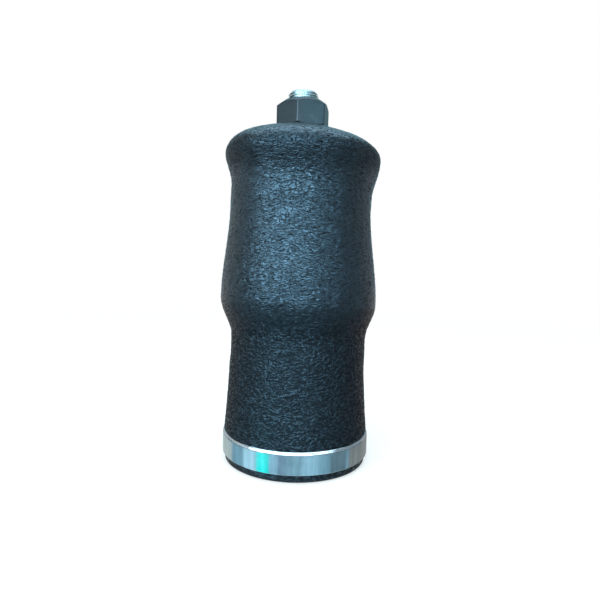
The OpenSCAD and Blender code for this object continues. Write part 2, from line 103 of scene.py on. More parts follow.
def add_node(tree, kind, settings=None, sockets=None, out=0):
    """Adds a node, first sets its settings, then its sockets (by name or number), and returns one output, if any."""
    node = tree.nodes.new("ShaderNode" + kind)
    for key, value in (settings or {}).items():
        setattr(node, key, value)
    for key, value in (sockets or {}).items():
        plug(node.inputs[key], value)
    return Signal(node.outputs[out]) if node.outputs else None


class Signal:
    """A number that varies over a surface: one output socket, with operators that add Math nodes behind it."""

    def __init__(self, socket):
        self.socket = socket

    def math(self, operation, *values):
        """The result of a Math node on those values, in their order."""
        return add_node(self.socket.id_data, "Math", {"operation": operation}, dict(enumerate(values)))

    def __add__(self, other):
        return self.math("ADD", self, other)

    def __sub__(self, other):
        return self.math("SUBTRACT", self, other)

    def __rsub__(self, other):
        return self.math("SUBTRACT", other, self)

    def __mul__(self, other):
        return self.math("MULTIPLY", self, other)

    def __pow__(self, other):
        return self.math("POWER", self, other)

    __radd__, __rmul__ = __add__, __mul__

    def size(self):
        """The number without its sign."""
        return self.math("ABSOLUTE", self)

    def ramp(self, low, high):
        """0 below low and 1 above high, level at both ends. With low above high it falls instead."""
        sockets = dict(enumerate((self, low, high, 0, 1)))
        return add_node(self.socket.id_data, "MapRange", {"interpolation_type": "SMOOTHSTEP"}, sockets)


# %% [markdown]
# A finish is one Principled shader and what feeds it. Colours pass through Mix nodes, because a Math node would turn
# them grey. Patterns read the object's own coordinates, so they stay on the piece when it moves.

# %% Finishes
def spaced(sockets):
    """Socket names as Blender writes them: Base_Color becomes Base Color."""
    return {name.replace("_", " "): value for name, value in sockets.items()}


class Finish:
    """One material while its nodes are wired."""

    def __init__(self, name, **sockets):
        self.material = bpy.data.materials.new(name)
        self.material.use_nodes = True
        self.tree = self.material.node_tree
        self.shader = self.tree.nodes["Principled BSDF"]
        self.place = self.node("TexCoord", out="Object")
        self.wire(**sockets)

    def node(self, kind, settings=None, sockets=None, out=0):
        """Adds a node to this finish, as add_node does."""
        return add_node(self.tree, kind, settings, sockets, out)

    def wire(self, **sockets):
        """Feeds the shader."""
        for name, value in spaced(sockets).items():
            plug(self.shader.inputs[name], value)

    def painted_shade_where_low(self, share, **sockets):
        """Adds a second Principled shader, which shows where share is 0. The first one stays where share is 1."""
        dull = self.node("BsdfPrincipled", {}, spaced(sockets))
        blend = self.node("MixShader", {}, {0: share, 1: dull, 2: Signal(self.shader.outputs[0])})
        plug(self.tree.nodes["Material Output"].inputs["Surface"], blend)

    def axis(self, letter):
        """One of the object's own coordinates (X, Y or Z) in metres."""
        return self.node("SeparateXYZ", {}, {"Vector": self.place}, letter)

    def stretched(self, x, y, z, place=None):
        """Coordinates times (x, y, z): above 1 makes a pattern finer along that axis."""
        return self.node("Mapping", {}, {"Vector": place or self.place, "Scale": (x, y, z)})

    def radius(self, middle=0.0):
        """Distance from the upright axis at x = middle, in metres."""
        x, y = self.axis("X") - middle, self.axis("Y")
        return (x * x + y * y) ** 0.5

    def lathe(self, middle=0.0):
        """Radius and height as coordinates: a pattern then runs in rings on faces and in bands on sides."""
        return self.node("CombineXYZ", {}, {"X": self.radius(middle), "Z": self.axis("Z")})

    def noise(self, size, place=None, detail=3.0, out="Fac"):
        """Soft noise between 0 and 1 whose blobs are about size millimetres wide."""
        sockets = {"Vector": place or self.place, "Scale": 1 / (size * MM), "Detail": detail}
        return self.node("TexNoise", {}, sockets, out)

    def mix(self, share, a, b):
        """Colour a where share is 0, colour b where it is 1. Sockets 6, 7 and output 2 are the Mix node's colours."""
        return self.node("Mix", {"data_type": "RGBA"}, {0: share, 6: paint(a), 7: paint(b)}, 2)

    def bump(self, height, depth):
        """Normal for a relief whose height runs from 0 to 1 over depth millimetres."""
        return self.node("Bump", {}, {"Height": height, "Distance": depth * MM, "Strength": 1.0})


def paint(colour):
    """A colour with its alpha, or the Signal that it already is."""
    return colour if isinstance(colour, Signal) else (*colour, 1.0)


def dress(piece, finish):
    """Gives a piece one material and drops the ones that it had."""
    piece.data.materials.clear()
    piece.data.materials.append(finish.material)
    print(f"{piece.name} wears {finish.material.name}")


# %% [markdown]
# ## The camera
# The photograph is taken from close by: the foot's ring shows as a deep curve, while the crown's land is seen almost
# edge on. A lens fitted to both gives a camera 204 mm in front of the axis and 81 mm above the base, tipped down a
# little. The object leans to the right in the picture by a degree and a half, which is the camera's roll.
# The camera comes early, because everything after it is judged through it.

# %% Camera at the photograph's place
scene = bpy.context.scene


def place_object(name, data):
    """Puts a new object with that mesh, lamp or camera into the scene, unturned at the origin."""
    thing = bpy.data.objects.new(name, data)
    scene.collection.objects.link(thing)
    return thing


lens = bpy.data.cameras.new("photo_lens")
lens.lens, lens.sensor_width = 29.88, 36.0
lens.clip_start, lens.clip_end = 0.01, 20.0
camera = place_object("photo_camera", lens)
camera_tip, camera_roll = math.radians(85.57), math.radians(1.5)
camera.location = (0.0007, -0.204, 0.0806)
camera.rotation_mode = "QUATERNION"
camera.rotation_quaternion = Quaternion((1, 0, 0), camera_tip) @ Quaternion((0, 0, 1), camera_roll)
scene.camera = camera
scene.view_settings.view_transform = "Standard"
print("camera at", tuple(round(x, 4) for x in camera.location))

# %% [markdown]
# ## Floor and background
# The photograph is cut out on pure white. The floor is a pale sheet. What the lens, metal and glass see of it is part
# white of its own and part lamp light, so that the shadow under the object stays. Far from the object only the white is
# left, which joins the white of the world without a horizon.

# %% Pale floor
def studio_rays(tree):
    """1 for rays from the lens and for mirrored or refracted rays, 0 for the light that falls on things."""
    seen = add_node(tree, "LightPath", out="Is Camera Ray")
    for other in ("Is Glossy Ray", "Is Transmission Ray"):
        seen = seen.math("MAXIMUM", seen, add_node(tree, "LightPath", out=other))
    return seen


def mesh_object(name, points, faces):
    """Puts a mesh with those points (an array, in metres) and faces into the scene."""
    mesh = bpy.data.meshes.new(name)
    mesh.from_pydata(points.tolist(), [], faces)
    return place_object(name, mesh)


BLACK, WHITE = (0.0, 0.0, 0.0), (1.0, 1.0, 1.0)
floor_reach = 3.0
floor = mesh_object("floor", np.array([(-1, -1, 0), (1, -1, 0), (1, 1, 0), (-1, 1, 0)]) * floor_reach, [(0, 1, 2, 3)])
floor_finish = Finish("pale_floor", Roughness=1.0, Specular_IOR_Level=0.0, Emission_Strength=1.0)
seen = studio_rays(floor_finish.tree)
distance = floor_finish.node("VectorMath", {"operation": "LENGTH"}, {0: floor_finish.place}, "Value")
far = distance.ramp(0.12, 0.7)
own_white = (far * 0.54 + 0.46) * seen
floor_finish.wire(
    Base_Color=floor_finish.mix(far * seen, (0.47, 0.42, 0.39), BLACK),
    Emission_Color=floor_finish.mix(own_white, BLACK, WHITE),
)
dress(floor, floor_finish)

# %% [markdown]
# The world has two faces. What is looked at or mirrored is plain white. What lights the object is a dimmer, slightly
# blue ambient light.

# %% White world
world = bpy.data.worlds.new("white_room")
scene.world = world
world.use_nodes = True
room = world.node_tree
room.nodes.clear()
ambient = add_node(room, "Background", {}, {"Color": (0.90, 0.96, 1.0, 1.0), "Strength": 0.5})
backdrop = add_node(room, "Background", {}, {"Color": (1.0, 1.0, 1.0, 1.0), "Strength": 1.0})
chosen = add_node(room, "MixShader", {}, {0: studio_rays(room), 1: ambient, 2: backdrop})
add_node(room, "OutputWorld", {}, {"Surface": chosen})
print("world nodes:", len(room.nodes))

# %% [markdown]
# ## Lamps
# The rubber shows a broad bluish sheen over its middle and stays nearly black at its sides. That is a wide, low window
# in front of it, a little to the left. A small soft lamp on the right lifts that side, and a large one overhead lights
# the crown.

# %% Front window, right fill and top lamp
def soft_lamp(name, place, target, width, height, radiance, colour):
    """Area lamp at place, turned towards target, all in metres. Its face has that radiance: watts = 4 area radiance."""
    light = bpy.data.lights.new(name, "AREA")
    light.shape, light.size, light.size_y = "RECTANGLE", width, height
    light.energy = 4 * width * height * radiance
    light.color = colour
    lamp = place_object(name, light)
    lamp.location = place
    lamp.rotation_mode = "QUATERNION"
    lamp.rotation_quaternion = (Vector(target) - Vector(place)).to_track_quat("-Z", "Y")
    lamp.visible_camera = False
    print(f"{name}: {light.energy:.1f} W")


soft_lamp("window_front", (-0.29, -0.745, 0.27), (0.0, 0.0, 0.27), 1.80, 0.20, 15.8, (0.66, 0.86, 1.0))
soft_lamp("fill_right", (0.56, -0.56, 0.28), (0.0, 0.0, 0.28), 0.36, 0.22, 4.0, (0.60, 0.84, 1.0))
soft_lamp("soft_top", (0.0, 0.0, 0.95), (0.0, 0.0, 0.085), 1.30, 1.10, 3.2, (0.60, 0.85, 1.0))

# %% [markdown]
# A grey curtain closes the room on all sides but the one behind the object, warmer and paler on the left as in the
# photograph's reflections. Without it the white world would show in the rubber from everywhere and wash its black out.
# The lens doesn't see the curtain. Like most pieces here, it is worked out from radius, height and angle.

# %% Curtain round the room
def turned(radius, height, angle):
    """Grid of points at distance radius from the axis, at that height and angle. The three broadcast together."""
    radius, height, angle = np.broadcast_arrays(radius, height, angle)
    return np.stack([radius * np.cos(angle), radius * np.sin(angle), height], -1)


def strip_faces(count):
    """Faces between two rows of count points, the second row after the first in the list of points."""
    step = np.arange(count - 1)[:, None]
    return np.hstack([step, step + 1, step + count + 1, step + count]).tolist()


curtain_r, curtain_height, curtain_posts = 1.3, 2.2, 60
curtain_angles = np.radians(np.linspace(102, 438, curtain_posts))
curtain_grid = turned(curtain_r, np.array([[0.0], [curtain_height]]), curtain_angles)
curtain = mesh_object("curtain", curtain_grid.reshape(-1, 3), strip_faces(curtain_posts))
curtain.visible_camera = False
curtain_grey = Finish("curtain_grey", Roughness=1.0, Specular_IOR_Level=0.0)
to_right = curtain_grey.axis("X").ramp(-curtain_r, 0.3)
curtain_grey.wire(Base_Color=curtain_grey.mix(to_right, (0.62, 0.55, 0.50), (0.36, 0.34, 0.34)))
dress(curtain, curtain_grey)

# %% [markdown]
# Seen at a flat angle, even black rubber mirrors what stands behind the object. In the photograph that was blue-green
# and dark above, so a panel that only mirrored rays meet takes the white world's place there.

# %% Panel behind the object
def glowing(name):
    """Finish that shows its emission colour alone."""
    return Finish(name, Base_Color=(*BLACK, 1.0), Specular_IOR_Level=0.0, Emission_Strength=1.0)


def mirror_card(name, points, faces, finish):
    """Sheet that only mirrored rays meet. The lens doesn't see it, and it neither lights nor shades anything."""
    card = mesh_object(name, points, faces)
    card.visible_camera = card.visible_diffuse = card.visible_shadow = False
    dress(card, finish)


panel_side, panel_back, panel_bend, panel_high, panel_front = 1.1, 1.15, 1.3, 2.1, 0.25
panel_points = np.array([
    (-panel_side, panel_back, 0.0), (panel_side, panel_back, 0.0),
    (panel_side, panel_back, panel_bend), (-panel_side, panel_back, panel_bend),
    (panel_side, panel_front, panel_high), (-panel_side, panel_front, panel_high),
])
panel_glow = glowing("back_panel")
panel_top = panel_glow.axis("Z").ramp(1.22, 1.42)
panel_glow.wire(Emission_Color=panel_glow.mix(panel_top, (0.42, 0.84, 1.0), (0.02, 0.05, 0.07)))
mirror_card("back_panel", panel_points, [(0, 1, 2, 3), (3, 2, 4, 5)], panel_glow)

# %% [markdown]
# The metal ring mirrors what lies right in front of it. In the photograph that is a blue-grey table, something cyan
# whose mirror image is the bright streak, a pale strip beside it and dark shapes. They become flat cards that only
# mirrored rays meet, so the floor stays plain. An upright band on the ring mirrors a fan on the floor. The fan's sides
# are the camera's rays, thrown back by the ring at the band's two edges.

# %% Cards in front of the ring
def floor_card(name, first, last, strip, height, colour):
    """Fan on the floor that the ring mirrors between the angles first and last (degrees) round the axis.

    Each side runs over the strip (distances in mm off the ring) along 2 (n . v) n - v, where n points out of the ring
    and v towards the camera."""
    sides = 33
    facing = np.radians(np.linspace(first, last, sides))
    outward = np.stack([np.cos(facing), np.sin(facing)], -1)
    to_camera = np.array(camera.location)[:2] / MM - ring_r * outward
    to_camera /= np.linalg.norm(to_camera, axis=1, keepdims=True)
    thrown = 2 * (outward * to_camera).sum(1, keepdims=True) * outward - to_camera
    near_end, far_end = strip
    flat = np.vstack([ring_r * outward + far_end * thrown, ring_r * outward + near_end * thrown])
    glow = glowing(name)
    glow.wire(Emission_Color=(*colour, 1.0))
    mirror_card(name, np.column_stack([flat, np.full(len(flat), height)]) * MM, strip_faces(sides), glow)


near_strip, far_strip = (1.0, 45.0), (45.0, 425.0)
low_sheet, top_sheet = 0.3, 0.4
floor_card("table_card", 188.0, 352.0, near_strip, low_sheet, (0.24, 0.46, 0.57))
floor_card("cloth_card", 212.0, 328.0, far_strip, low_sheet, (0.12, 0.17, 0.21))
floor_card("cloth_left", 195.0, 212.0, far_strip, low_sheet, (0.48, 0.45, 0.45))
floor_card("cloth_right", 328.0, 345.0, far_strip, low_sheet, (0.42, 0.34, 0.32))
floor_card("left_card", 186.0, 216.5, near_strip, top_sheet, (0.58, 0.66, 0.64))
floor_card("pale_card", 230.5, 242.3, near_strip, top_sheet, (0.56, 0.94, 1.10))
floor_card("cyan_card", 242.8, 252.0, near_strip, top_sheet, (0.0, 1.25, 1.15))
floor_card("wall_card", 252.4, 258.5, near_strip, top_sheet, (0.34, 0.62, 0.80))
floor_card("dark_card", 258.8, 264.8, near_strip, top_sheet, (0.18, 0.33, 0.45))
floor_card("lamp_card", 276.0, 288.0, near_strip, top_sheet, (0.38, 0.70, 0.84))
floor_card("dim_card", 296.4, 311.0, near_strip, top_sheet, (0.16, 0.26, 0.31))
floor_card("right_card", 313.5, 354.0, near_strip, top_sheet, (0.30, 0.31, 0.30))

# %% [markdown]
# ## The sleeve's outline
# The sleeve is moulded rubber. Above the crimp ring it flares in to a lower waist, swells to a belt at mid height,
# draws in again to an upper waist and swells to the shoulder, from which the crown curves over to the stud.
# The outline uses the same stations and the same curves as the solid: a power curve for the flare, eased steps between
# the stations and a superellipse for the crown. The inner wall runs parallel to it.

# %% Outline of the sleeve
wall, crown_wall = 2.4, 2.9
foot_r, root_r, lower_waist_r, belt_r, upper_waist_r, shoulder_r = 28.2, 29.4, 27.4, 31.5, 28.2, 30.9
flare_len, flare_power = 34.0, 1.45
lower_waist_z = ring_top_z + flare_len
rise_z = lower_waist_z + 3.5
belt_z = rise_z + 14.5
fall_z = belt_z + 38.0
swell_z = fall_z + 4.5
shoulder_z = swell_z + 14.8
crown_h, crown_power, land_r = 12.7, 1.88, 11.5
cut_z = 0.3


def ease(t):
    """Goes from 0 to 1 as t does, level at both ends: 3t^2 - 2t^3."""
    t = np.clip(t, 0, 1)
    return t * t * (3 - 2 * t)


def rise(value, low, high):
    """0 below low and 1 above high, eased between them. With low above high it falls instead."""
    return ease((value - low) / (high - low))


def side_radius(z, belt_lift=0.0, swell_lift=0.0):
    """Outer radius at height z. Below the lower waist it is waist + depth * (share of the flare's length)^1.45. Above
    it the radius eases from one station to the next. The lifts raise the belt and the start of the swell."""
    low, high, start = rise_z + belt_lift, belt_z + belt_lift, swell_z + swell_lift
    flare = lower_waist_r + (root_r - lower_waist_r) * np.clip((lower_waist_z - z) / flare_len, 0, None) ** flare_power
    to_belt = lower_waist_r + (belt_r - lower_waist_r) * rise(z, low, high)
    to_waist = belt_r + (upper_waist_r - belt_r) * rise(z, high, fall_z)
    to_shoulder = upper_waist_r + (shoulder_r - upper_waist_r) * rise(z, start, shoulder_z)
    return np.select([z < lower_waist_z, z < high, z < fall_z], [flare, to_belt, to_waist], to_shoulder)


def crown_line(radius, height, count=400):
    """Superellipse from the shoulder to the land: r = a cos(t)^(2/n), z = b sin(t)^(2/n) above the shoulder."""
    last = math.acos((land_r / radius) ** (crown_power / 2))
    t = np.linspace(0, last, count)
    return np.stack([radius * np.cos(t) ** (2 / crown_power), shoulder_z + height * np.sin(t) ** (2 / crown_power)], -1)


side_z = np.linspace(ring_top_z, shoulder_z, 1200)
outer_side = np.stack([side_radius(side_z, belt_lift=0.4, swell_lift=1.5), side_z], -1)
outer_crown = crown_line(shoulder_r, crown_h)
inner_crown = crown_line(shoulder_r - wall, crown_h - crown_wall)
land_z, inner_land_z = outer_crown[-1, 1], inner_crown[-1, 1]
print(f"belt at {belt_z:.1f}, shoulder at {shoulder_z:.1f}, land at {land_z:.2f} mm")

# %% [markdown]
# Profiles are drawn as a few points with corners. Real edges are never sharp: a moulding has a radius and a turned part
# is broken with a file. The next helpers cut each corner with a small arc and spread points evenly along the line.

# %% Rounded and evenly spread profiles
def rounded(corners, radius, steps=4):
    """Open line through corners, each inner corner replaced by a quadratic curve that starts and ends radius away from
    it (or at most 45 % of the way to its neighbour): p(t) = (1-t)^2 a + 2t(1-t) corner + t^2 b."""
    corners = np.array(corners, float)
    before, corner, after = corners[:-2], corners[1:-1], corners[2:]
    step_in, step_out = before - corner, after - corner
    length_in, length_out = np.linalg.norm(step_in, axis=1), np.linalg.norm(step_out, axis=1)
    reach = np.minimum(radius, 0.45 * np.minimum(length_in, length_out))[:, None]
    a, b = corner + step_in / length_in[:, None] * reach, corner + step_out / length_out[:, None] * reach
    t = np.linspace(0, 1, steps + 1)[None, :, None]
    arcs = (1 - t) ** 2 * a[:, None] + 2 * t * (1 - t) * corner[:, None] + t**2 * b[:, None]
    return np.vstack([corners[:1], arcs.reshape(-1, 2), corners[-1:]])


def length_along(line):
    """Distance from the line's first point to each of its points, along the line."""
    return np.concatenate([[0], np.cumsum(np.linalg.norm(np.diff(line, axis=0), axis=1))])


def spread(line, count):
    """The same line with count points at equal distances along it."""
    along = length_along(line)
    wanted = np.linspace(0, along[-1], count)
    return np.stack([np.interp(wanted, along, line[:, 0]), np.interp(wanted, along, line[:, 1])], -1)


# %% [markdown]
# Now the whole section of the wall as one closed line: up the outside, over the crown, down the well for the clamp
# collar, through the hole of the stud and back down the inside. Points lie closest together where the grain will be.
# Two small forms are the rubber's own. Below the ring the squeezed rubber bulges out a little, and above the ring it
# comes out of the lip with a short fillet.

# %% Section of the wall
fine_rows = 262
collar_low, collar_high = node_box("clamp_collar")
well_r, hole_r = collar_high[0] + 0.2, 6.3
well_z = collar_low[2] - 0.1
bulge_r, bulge_z = foot_r + 0.6, ring_foot_z - 0.05
lip_z, fillet_z = ring_top_z + 0.04, ring_top_z + 1.2
foot_line = rounded([
    (foot_r - 1.0, cut_z), (bulge_r, cut_z), (bulge_r, bulge_z), (foot_r, bulge_z), (foot_r, ring_top_z - 1.2),
], 0.35)
root_fillet = rounded([
    (foot_r, ring_top_z - 1.0), (foot_r, lip_z), (root_r, lip_z), (side_radius(fillet_z), fillet_z),
], 0.5)
above_fillet = outer_side[outer_side[:, 1] > fillet_z]
fine_line = spread(np.vstack([root_fillet[-3:], above_fillet, outer_crown[1:]]), fine_rows)
well_line = rounded([
    (land_r, land_z), (well_r, land_z), (well_r, well_z), (hole_r, well_z), (hole_r, inner_land_z),
    (land_r, inner_land_z),
], 0.25, 2)
inner_z = np.linspace(shoulder_z, ring_top_z, 16)
inner_line = np.vstack([
    spread(inner_crown[::-1], 8)[1:],
    np.stack([side_radius(inner_z) - wall, inner_z], -1)[1:],
    [(foot_r - wall, ring_top_z), (foot_r - wall, cut_z)],
])
section = np.vstack([foot_line, root_fillet[1:-3], fine_line, well_line[1:], inner_line])
first_fine = len(foot_line) + len(root_fillet) - 4
print("rows of the sleeve:", len(section))

# %% [markdown]
# ## Leather grain
# The mould of the sleeve is etched with a leather grain: small pillows, wider than high, parted by creases. The creases
# are where two pillows are equally near. Each pillow has its middle at a random place in its own cell of a lattice that
# closes round the sleeve, so the grain has no seam.
# The bigger pillows are real relief in the mesh. The finest wrinkles are left to the finish, since a mesh fine enough
# for them would be ten times as heavy.

# %% Pillows and creases on a closed lattice
def pillows(u, v, cells_round, cells_up, seed):
    """Distance between the two nearest cell middles at u cells round and v cells up, for whole arrays.

    Each point looks at the 3 by 3 cells near it, keeps the nearest and second nearest middle, and returns second minus
    first: 0 on a crease and about 1 in the middle of a pillow. The lattice has spare rows below and above."""
    spare = 3
    random = np.random.default_rng(seed)
    middle = random.random((cells_up + 2 * spare, cells_round, 2)) * 0.8 + 0.1
    column, row = np.floor(u).astype(int), np.floor(v).astype(int)
    steps = np.array([(a, b) for a in (-1, 0, 1) for b in (-1, 0, 1)])
    near_column, near_row = column[..., None] + steps[:, 0], row[..., None] + steps[:, 1]
    offset = middle[np.clip(near_row + spare, 0, cells_up + 2 * spare - 1), near_column % cells_round]
    gap = np.hypot(near_column + offset[..., 0] - u[..., None], near_row + offset[..., 1] - v[..., None])
    nearest = np.partition(gap, 1, axis=-1)[..., :2]
    return nearest[..., 1] - nearest[..., 0]


def wander(angle, along, seed, waves=7):
    """Slow wandering value between about -1 and 1: a sum of sines that close round the sleeve."""
    random = np.random.default_rng(seed)
    total = np.zeros(np.broadcast(angle, along).shape)
    for _ in range(waves):
        turns, pace, phase = random.integers(2, 13), random.uniform(0.05, 0.35), random.uniform(0, 2 * np.pi)
        total += np.sin(turns * angle + pace * along * random.choice([-1, 1]) + phase)
    return total / math.sqrt(waves)


# %% [markdown]
# The lattice is laid over the outside of the sleeve. Its rows and columns wander slowly up and down and round, as
# leather does, and the creases keep a steady width.

# %% Grain over the outside
def turn_angles(columns):
    """Angles of a full turn in equal steps, as one row."""
    return np.arange(columns)[None, :] * 2 * np.pi / columns


angle = turn_angles(304)
along = length_along(section)[:, None]
along_fine = along - along[first_fine]
pillow_width, pillow_height, mean_r, crease_width = 3.4, 1.9, 30, 0.55
sway_round, sway_up = 0.55, 0.9
cells_round = round(2 * np.pi * mean_r / pillow_width)
cells_up = int(along_fine.max() / pillow_height) + 4
u = angle / (2 * np.pi) * cells_round + sway_round * wander(angle, along_fine, seed=5)
v = np.clip(along_fine, -6, None) / pillow_height + sway_up * wander(angle, along_fine, seed=9)
grain = ease(pillows(u, v, cells_round, cells_up, seed=21) / crease_width)
print(f"grain: {cells_round} pillows round, mean height {grain.mean():.2f}")

# %% [markdown]
# The grain fades out on the smooth land round the stud, under the ring and on the inside. It presses inwards only, so
# the pillows' tops stay on the solid's surface.

# %% Relief of the grain
def circles(line):
    """A line of (radius, height) as a column of radii and a column of heights."""
    return line[:, :1], line[:, 1:]


grain_depth, smooth_r, grained_r, root_fade = 0.13, 13.0, 15.0, 2.5
row = np.arange(len(section))[:, None]
is_fine = (row >= first_fine) & (row < first_fine + fine_rows)
section_r, section_z = circles(section)
off_smooth_land = np.where(section_z > shoulder_z, rise(section_r, smooth_r, grained_r), 1.0)
off_smooth_root = rise(section_z, ring_top_z, ring_top_z + root_fade)
relief = (grain - 1) * grain_depth * is_fine * off_smooth_land * off_smooth_root
tangent = np.roll(section, -1, axis=0) - np.roll(section, 1, axis=0)
tangent /= np.linalg.norm(tangent, axis=1, keepdims=True)
sleeve_r = section_r + tangent[:, 1:] * relief
sleeve_z = section_z - tangent[:, :1] * relief
print(f"deepest crease {-relief.min():.2f} mm")

# %% [markdown]
# ## From a grid of points to a skin
# Every new piece is a surface over two parameters: one runs along a profile, the other runs round the axis. That gives
# a grid of points, and the faces follow from the grid's order alone.
# The grid always closes round the axis. Along the profile it either closes on itself, as a wall with an inner and an
# outer side does, or ends in a single point at each end, as a bar does. Both give a closed skin without a seam.

# %% A closed skin over a grid
def skin(name, grid, ends=None):
    """Mesh object over grid[row, column] = (x, y, z) in millimetres.

    Columns run round the axis and close. Rows close too, unless ends gives the two points that close them.
    Face (i, j) joins points (i, j), (i, j+1), (i+1, j+1) and (i+1, j), with indices wrapped, so the skin looks outwards
    when rows climb the outer side and columns run anticlockwise."""
    rows, columns = grid.shape[:2]
    row, column = np.meshgrid(np.arange(rows if ends is None else rows - 1), np.arange(columns), indexing="ij")
    here, above = row * columns, (row + 1) % rows * columns
    beside = (column + 1) % columns
    faces = np.stack([here + column, here + beside, above + beside, above + column], -1).reshape(-1, 4).tolist()
    points = grid.reshape(-1, 3)
    if ends is not None:
        first, last = len(points), len(points) + 1
        points = np.vstack([points, ends])
        around = np.arange(columns)
        following, top = (around + 1) % columns, (rows - 1) * columns
        faces += np.stack([np.full(columns, first), following, around], -1).tolist()
        faces += np.stack([np.full(columns, last), top + around, top + following], -1).tolist()
    piece = mesh_object(name, points * MM, faces)
    piece.data.shade_smooth()
    print(f"{name}: {len(points)} points, {sum(len(face) - 2 for face in faces)} triangles")
    return piece


# %% [markdown]
# Soft rubber is never quite true. In the photograph belt and shoulder stand about three degrees out of level, higher on
# the left and in front, so the outside is sheared by that much from the lower waist up. The crown leans a little more,
# belt and crown have drifted to the right by less than a millimetre, and the crown's top is slightly flattened.
# All of it fades out at the land, where the rubber is clamped between steel and can't move.

# %% Sleeve
side_lean, swell_lean, crown_lean, back_lean = 0.030, 0.024, 0.015, 0.050
crown_drift, belt_drift, crown_flattening = 0.45, 0.30, 0.35
at_swell = rise(sleeve_z, 98, 107) * rise(sleeve_z, 121, 115)
lean_right = side_lean + swell_lean * at_swell + crown_lean * rise(sleeve_z, 122, 127)
lean_back = back_lean * rise(sleeve_z, 133, 121)
lean = (lean_right * np.cos(angle) + lean_back * np.sin(angle)) * sleeve_r * rise(sleeve_z, 20, 52)
drift = crown_drift * rise(sleeve_z, 100, 114) + belt_drift * rise(sleeve_z, 38, 44) * rise(sleeve_z, 58, 50)
flattened = crown_flattening * rise(sleeve_r, 27, 21) * (sleeve_z > shoulder_z)
off_land = rise(sleeve_r, 12, 16) * is_fine
sleeve_grid = turned(sleeve_r, sleeve_z - (lean + flattened) * off_land, angle)
sleeve_grid[..., 0] += drift * off_land
sleeve = skin("sleeve_skin", sleeve_grid)
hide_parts("sleeve")
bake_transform(sleeve)

# %% [markdown]
# ## Rubber
# Black rubber is dark grey, not black, and its gloss is soft. What makes it look like this sleeve is the grain. Above
# the belt it is short wavy folds that lie mostly level, with thin creases between them. Below the belt it is small
# pebbles. Raised rubber is satin. In the creases and between the pebbles a matt, nearly black second shader takes its
# place: painted shade for the shadow inside the grain. So two shaders are mixed by the height of the grain. A band
# round the shoulder loses a further third of its gloss, also painted shade. The bluish tint of the gloss is painted
# light, carrying part of the blue of the window light.
# Noise squeezed in height gives folds that lie level. Slower noise bends it first, so that no row shows.

# %% Grained rubber
def grained_rubber():
    """Height of the grain from three noises in bent coordinates.

    A fold is where the first noise is high, a crease where the second passes 0.5, a pebble where the third is high. The
    grain ends at the smooth cut edge below the ring. The gloss follows the same height: low grain gets painted shade."""
    # The bluish specular tint is painted light: it carries part of the blue of the window light into every reflection
    # on the rubber.
    rubber = Finish("grained_rubber", Specular_IOR_Level=0.75, Specular_Tint=(0.46, 0.78, 1.0, 1.0))
    moved = rubber.place
    for size, reach in ((9.0, 4.2), (2.5, 1.0)):
        bend = rubber.noise(size, None, 1.0, "Color")
        centred = rubber.node("VectorMath", {"operation": "SUBTRACT"}, {0: bend, 1: (0.5, 0.5, 0.5)})
        moved = rubber.node("VectorMath", {"operation": "MULTIPLY_ADD"}, {0: centred, 1: (reach * MM,) * 3, 2: moved})
    drawn_out = rubber.stretched(0.8, 0.8, 2.8, moved)
    fold = rubber.noise(1.45, drawn_out, 1.7).ramp(0.29, 0.71)
    crease = (rubber.noise(1.8, drawn_out, 1.0) - 0.5).size().ramp(0.0, 0.08)
    pebble = rubber.noise(1.3, rubber.stretched(1.0, 1.0, 1.8, moved), 1.2).ramp(0.43, 0.67)
    fold_share, crease_share = 0.48, 0.52
    above_belt = rubber.axis("Z").ramp(0.044, 0.068)
    grained = rubber.axis("Z").ramp(0.0004, 0.0012)
    height = ((fold * fold_share + crease * crease_share) * above_belt + pebble * (1 - above_belt)) * grained
    relief = rubber.bump(height, 0.20)
    cloud = rubber.noise(9.0)
    rubber.wire(
        Base_Color=rubber.mix(cloud, (0.004, 0.0045, 0.005), (0.006, 0.0066, 0.0072)),
        Roughness=0.42 - height * 0.14 + (cloud - 0.5) * 0.05,
        Normal=relief,
    )
    # Painted shade: in a band round the shoulder, from 112 to 127 mm, the gloss is cut by up to a third more.
    painted_shade_band = rubber.axis("Z").ramp(0.112, 0.118) * rubber.axis("Z").ramp(0.127, 0.123)
    # Painted shade: where the grain is low, and between the pebbles, the matt black shader replaces the glossy one.
    share_without_painted_shade = height.ramp(-0.17, 0.75) * above_belt + (pebble * 0.62 + 0.30) * (1 - above_belt)
    share_without_painted_shade = share_without_painted_shade * (1 - painted_shade_band * 0.36) * grained + (1 - grained) * 0.40
    # This matt, nearly black second shader is the painted shade in the grain's creases and hollows.
    painted_shade_colour = (0.004, 0.0045, 0.005, 1.0)
    rubber.painted_shade_where_low(share_without_painted_shade, Base_Color=painted_shade_colour, Roughness=0.9, Specular_IOR_Level=0.0, Normal=relief)
    return rubber


dress(sleeve, grained_rubber())

# %% [markdown]
# ## Crimp ring
# The ring is turned from aluminium tube and squeezed by a die with many jaws. Each jaw leaves a face that is a trace
# flatter than the circle, which is why the reflections on such a ring stand in upright bands. Its upper lip is rolled
# round and shines as a bright line.

